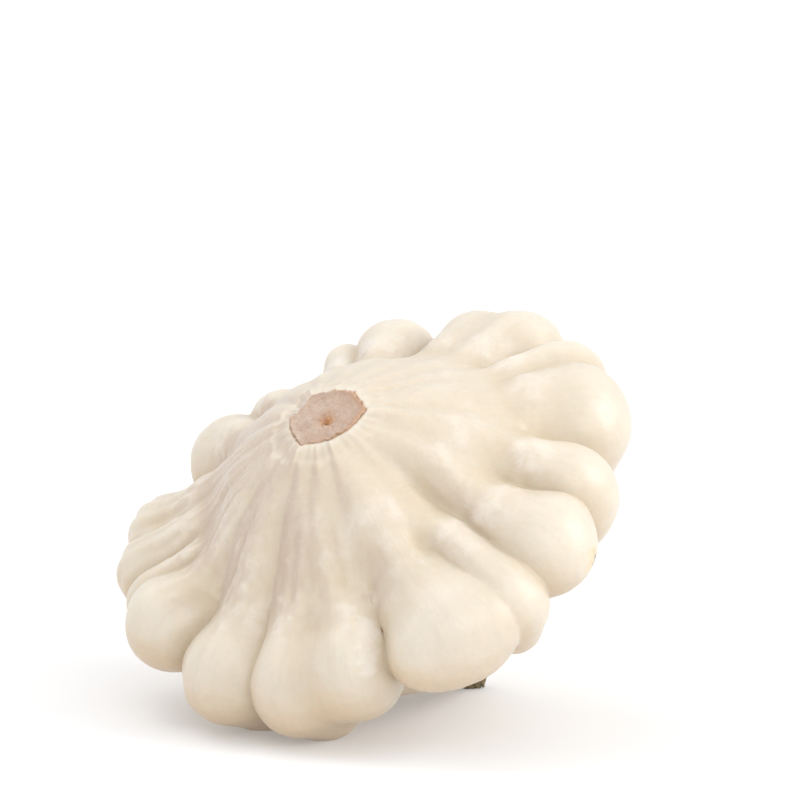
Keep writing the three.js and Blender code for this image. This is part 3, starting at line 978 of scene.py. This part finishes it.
@dataclass
class StemScar:
    """The cut end of the stem: an uneven, many-cornered face with a heart."""

    form: SquashForm
    corners: tuple[tuple[float, float], ...] = (
        (0, 9.9), (45, 10.1), (76, 10.5), (111, 11.5), (159, 9.8),
        (194, 9.0), (230, 10.2), (253, 7.8), (283, 9.1), (312, 8.3),
    )
    columns: int = 220
    rings: int = 56
    lift: float = 2.0
    gap: float = 0.3
    wall_shares: tuple[float, ...] = (1.015, 1.01, 0.98, 0.9, 0.6, 0.2)
    wall_drops: tuple[float, ...] = (0.175, 0.45, 0.8, 1.0, 1.0, 1.0)
    heart: Pair = (2.3, 1.3)
    heart_off: Pair = (0.6, 1.5)
    pit_off: Pair = (1.5, 1.6)
    dish: tuple[float, float, float] = (0.55, 0.62, 0.32)
    lip: tuple[float, float, float] = (0.25, 0.97, 0.05)
    pith: tuple[tuple[float, float, int], ...] = ((0.10, 1.4, 31), (0.16, 4.5, 33))
    bundles: tuple[float, int, float, float] = (0.22, 10, 0.78, 0.06)
    warm_side: float = 100.0

    def outline(self, headings: Array) -> Array:
        """Radius of the scar at each heading: straight between its corners, softened."""
        turns = np.array([corner[0] for corner in self.corners])
        radii = np.array([corner[1] for corner in self.corners])
        fine = np.linspace(0, TURN, 1440, endpoint=False)
        x, y = radii * np.cos(np.radians(turns)), radii * np.sin(np.radians(turns))
        radius = np.empty(fine.shape)
        for i in range(len(turns)):
            j = (i + 1) % len(turns)
            inside = (fine - turns[i]) % TURN < (turns[j] - turns[i]) % TURN
            way = np.radians(fine[inside])
            cross = (x[j] - x[i]) * np.sin(way) - (y[j] - y[i]) * np.cos(way)
            radius[inside] = np.abs((x[j] * y[i] - x[i] * y[j]) / np.where(cross == 0, 1, cross))
        wrapped = np.concatenate([radius[-24:], radius, radius[:24]])
        weights = bump(np.linspace(-1, 1, 25), 0.5)
        soft = np.convolve(wrapped, weights / weights.sum(), "same")[24:-24]
        ragged = 0.12 * np.sin(np.radians(fine * 17)) + 0.08 * np.sin(np.radians(fine * 41 + 60))
        return np.interp(np.asarray(headings) % TURN, fine, soft + ragged, period=TURN)

    def build(self, place: Array) -> bpy.types.Object:
        """Builds the cut face, its wall and its underside.

        Args:
            place: Where the middle of the fruit stands, in metres.

        Returns:
            The scar.
        """
        headings = np.linspace(0, TURN, self.columns, endpoint=False)
        edge = self.outline(headings)[:, None]
        base = self.form.stem_seat + self.gap
        top_share = np.linspace(0.02, 1, self.rings) ** 0.85
        shares = np.concatenate([top_share, self.wall_shares])[None, :]
        drops = np.concatenate([np.zeros(self.rings), self.wall_drops])[None, :]
        turn = np.radians(headings)[:, None]
        radius = edge * shares
        flat = np.stack([radius * np.cos(turn), radius * np.sin(turn), 0 * radius], -1)
        on_top = np.arange(shares.shape[1])[None, :] < self.rings
        from_heart = np.hypot(flat[..., 0] - self.heart_off[0], flat[..., 1] - self.heart_off[1])
        from_pit = np.hypot(flat[..., 0] - self.pit_off[0], flat[..., 1] - self.pit_off[1])
        heart = self.heart[1] * bump(from_heart, self.heart[0]) * (1 + rough(((0.3, 1.6, 35),), flat))
        depth, at, width = self.dish
        lip_height, lip_at, lip_width = self.lip
        dish = depth * bump(shares - at, width) - lip_height * bump(shares - lip_at, lip_width)
        depth, count, at, width = self.bundles
        bundles = depth * np.maximum(np.cos(count * turn + 0.6), 0) ** 4 * bump(shares - at, width)
        lower = (dish + heart + bundles - rough(self.pith, flat)) * on_top
        ragged = rough(((0.14, 1.1, 37),), flat) * bump(shares - 1.0, 0.05)
        points = flat.copy()
        points[..., 2] = base + self.lift * (1 - drops) - lower + ragged
        warm_side = np.cos(turn - math.radians(self.warm_side))
        marks = {
            "heart": bump(from_heart, 1.7) * on_top,
            "pit": bump(from_pit, 0.5) * on_top,
            "edge": bump(shares - 1.0, 0.014) * on_top + 0 * radius,
            "warm_edge": bump(shares - 0.97, 0.07) * smooth_step(warm_side, -0.2, 0.9),
            "wall": smooth_step(drops, 0.025, 0.15) + 0 * radius,
        }
        first = np.array([0, 0, points[:, 0, 2].mean()])
        last = np.array([0, 0, points[:, -1, 2].mean()])
        lie = self.form.lay_down
        laid_down = lie(points, place), lie(first, place), lie(last, place)
        piece = RingMesh("stem_cut_face", *laid_down, marks).build()
        piece.data.materials.append(StemFinish().material())
        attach(piece, "root")
        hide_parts("stem_scar")
        return piece


@dataclass
class BlossomScar:
    """The dried blossom end: a short, puckered stub under the belly."""

    form: SquashForm
    radius: float = 4.2
    height: float = 5.9
    gap: float = 0.3
    columns: int = 160
    rings: int = 44
    flat_part: float = 0.3
    waves: tuple[tuple[float, int, float], ...] = ((0.07, 5, 0.0), (0.03, 13, 1.0))
    pucker: tuple[float, int] = (0.35, 15)
    dimple: Pair = (1.1, 1.6)
    crumple: tuple[float, float, int] = (0.18, 1.8, 41)

    def build(self, place: Array) -> bpy.types.Object:
        """Builds the stub.

        Args:
            place: Where the middle of the fruit stands, in metres.

        Returns:
            The stub.
        """
        turn = np.radians(np.linspace(0, TURN, self.columns, endpoint=False))[:, None]
        way = np.linspace(0.04, 0.985, self.rings)[None, :]
        top = self.form.blossom_seat - self.gap
        quarter = (way - self.flat_part) / (1 - self.flat_part) * math.pi / 2
        on_flat = way < self.flat_part
        share = np.where(on_flat, way / self.flat_part, np.cos(quarter) ** 0.75)
        drop = np.where(on_flat, 0.0, np.sin(quarter))
        below = drop > 0
        wavy = 1 + sum(amount * np.cos(count * turn + phase) for amount, count, phase in self.waves)
        depth, count = self.pucker
        pucker = depth * np.cos(count * turn + 3 * share) * bump(share - 0.6, 0.3) * below
        radius = self.radius * share * wavy
        dimple = self.dimple[0] * bump(radius, self.dimple[1]) * below
        shift = self.form.belly_shift
        flat = np.stack([radius * np.cos(turn), radius * np.sin(turn) + shift, 0 * radius], -1)
        points = flat.copy()
        crumple = rough((self.crumple,), flat) * below
        points[..., 2] = top - self.height * drop + pucker + dimple + crumple
        marks = {"ridge": 0.5 - pucker / (2 * depth) + 0 * radius}
        first = np.array([0, shift, top])
        last = np.array([0, shift, points[:, -1, 2].mean()])
        lie = self.form.lay_down
        laid_down = lie(points, place), lie(first, place), lie(last, place)
        piece = RingMesh("blossom_button", *laid_down, marks).build()
        piece.data.materials.append(BlossomFinish().material())
        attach(piece, "root")
        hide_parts("blossom_scar")
        return piece


# ---------------------------------------------------------------- the studio


@dataclass(frozen=True)
class Softbox:
    """A square light, aimed at the fruit. Place in metres from it, power in watts."""

    name: str
    place: tuple[float, float, float]
    size: tuple[float, float]
    power: float
    colour: Colour = (1.0, 1.0, 1.0)

    def build(self, aim: Vector) -> None:
        """Hangs the light."""
        data = bpy.data.lights.new(self.name, "AREA")
        data.shape = "RECTANGLE"
        data.size, data.size_y = self.size
        data.energy = self.power
        data.color = self.colour
        lamp = bpy.data.objects.new(self.name, data)
        lamp.location = aim + Vector(self.place)
        lamp.rotation_euler = (-Vector(self.place)).to_track_quat("-Z", "Y").to_euler()
        bpy.context.scene.collection.objects.link(lamp)


@dataclass
class Studio:
    """White paper, soft lights and the camera."""

    elevation: float = 10.0
    distance: float = 1.045
    lens: float = 190.8
    aside: Pair = (0.0059, 0.0284)
    paper_radius: float = 14.0
    sky: float = 1.0
    lights: tuple[Softbox, ...] = (
        Softbox("window", (1.05, -0.30, 0.60), (0.5, 0.8), 7.2, (1.0, 0.995, 0.985)),
        Softbox("front", (0.2, -1.15, 0.55), (0.9, 0.7), 3.9, (1.0, 0.99, 0.975)),
        Softbox("top", (-0.5, 0.35, 1.0), (0.8, 0.7), 3.7, (1.0, 0.99, 0.98)),
    )

    def build(self, middle: Vector) -> None:
        """Sets up the paper, the lights and the camera.

        Args:
            middle: Middle of the upright fruit, in the row frame.
        """
        self.paper()
        for light in self.lights:
            light.build(middle)
        world = bpy.data.worlds.new("studio")
        world.use_nodes = True
        world.node_tree.nodes["Background"].inputs["Color"].default_value = (1, 1, 1, 1)
        world.node_tree.nodes["Background"].inputs["Strength"].default_value = self.sky
        bpy.context.scene.world = world
        bpy.context.scene.view_settings.view_transform = "Standard"
        self.camera(middle)

    def paper(self) -> None:
        """Lays the paper."""
        mesh = bpy.data.meshes.new("paper")
        turns = np.radians(np.linspace(0, TURN, 96, endpoint=False))
        rim = [(self.paper_radius * math.cos(t), self.paper_radius * math.sin(t), 0.0) for t in turns]
        mesh.from_pydata(rim, [], [tuple(range(len(rim)))])
        mesh.materials.append(TableFinish().material())
        paper = bpy.data.objects.new("paper", mesh)
        bpy.context.scene.collection.objects.link(paper)

    def camera(self, middle: Vector) -> None:
        """Stands the camera in front, a little above the fruit."""
        tilt = math.radians(self.elevation)
        view = Vector((0, math.cos(tilt), -math.sin(tilt)))
        up = Vector((0, math.sin(tilt), math.cos(tilt)))
        data = bpy.data.cameras.new("camera")
        data.lens = self.lens
        data.sensor_width = 36.0
        data.clip_end = 60.0
        camera = bpy.data.objects.new("camera", data)
        camera.location = middle - view * self.distance
        target = middle + Vector((1, 0, 0)) * self.aside[0] + up * self.aside[1]
        camera.rotation_euler = (target - camera.location).to_track_quat("-Z", "Y").to_euler()
        bpy.context.scene.collection.objects.link(camera)
        bpy.context.scene.camera = camera


def main() -> None:
    """Builds the fruit, its two scars and the studio, and notes the sizes."""
    logging.basicConfig(level=logging.INFO, format="%(name)s: %(message)s")
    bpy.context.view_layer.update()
    form = SquashForm()
    stem = StemScar(form)
    fruit, place = Fruit(form).build(stem.outline)
    pieces = [fruit, stem.build(place), BlossomScar(form).build(place)]
    for piece in pieces:
        log.info("%s: %d faces", piece.name, len(piece.data.polygons))
    Studio().build(Vector((place[0], place[1], -form.rest_height * MM)))
    bpy.context.view_layer.update()


if __name__ == "__main__":
    main()
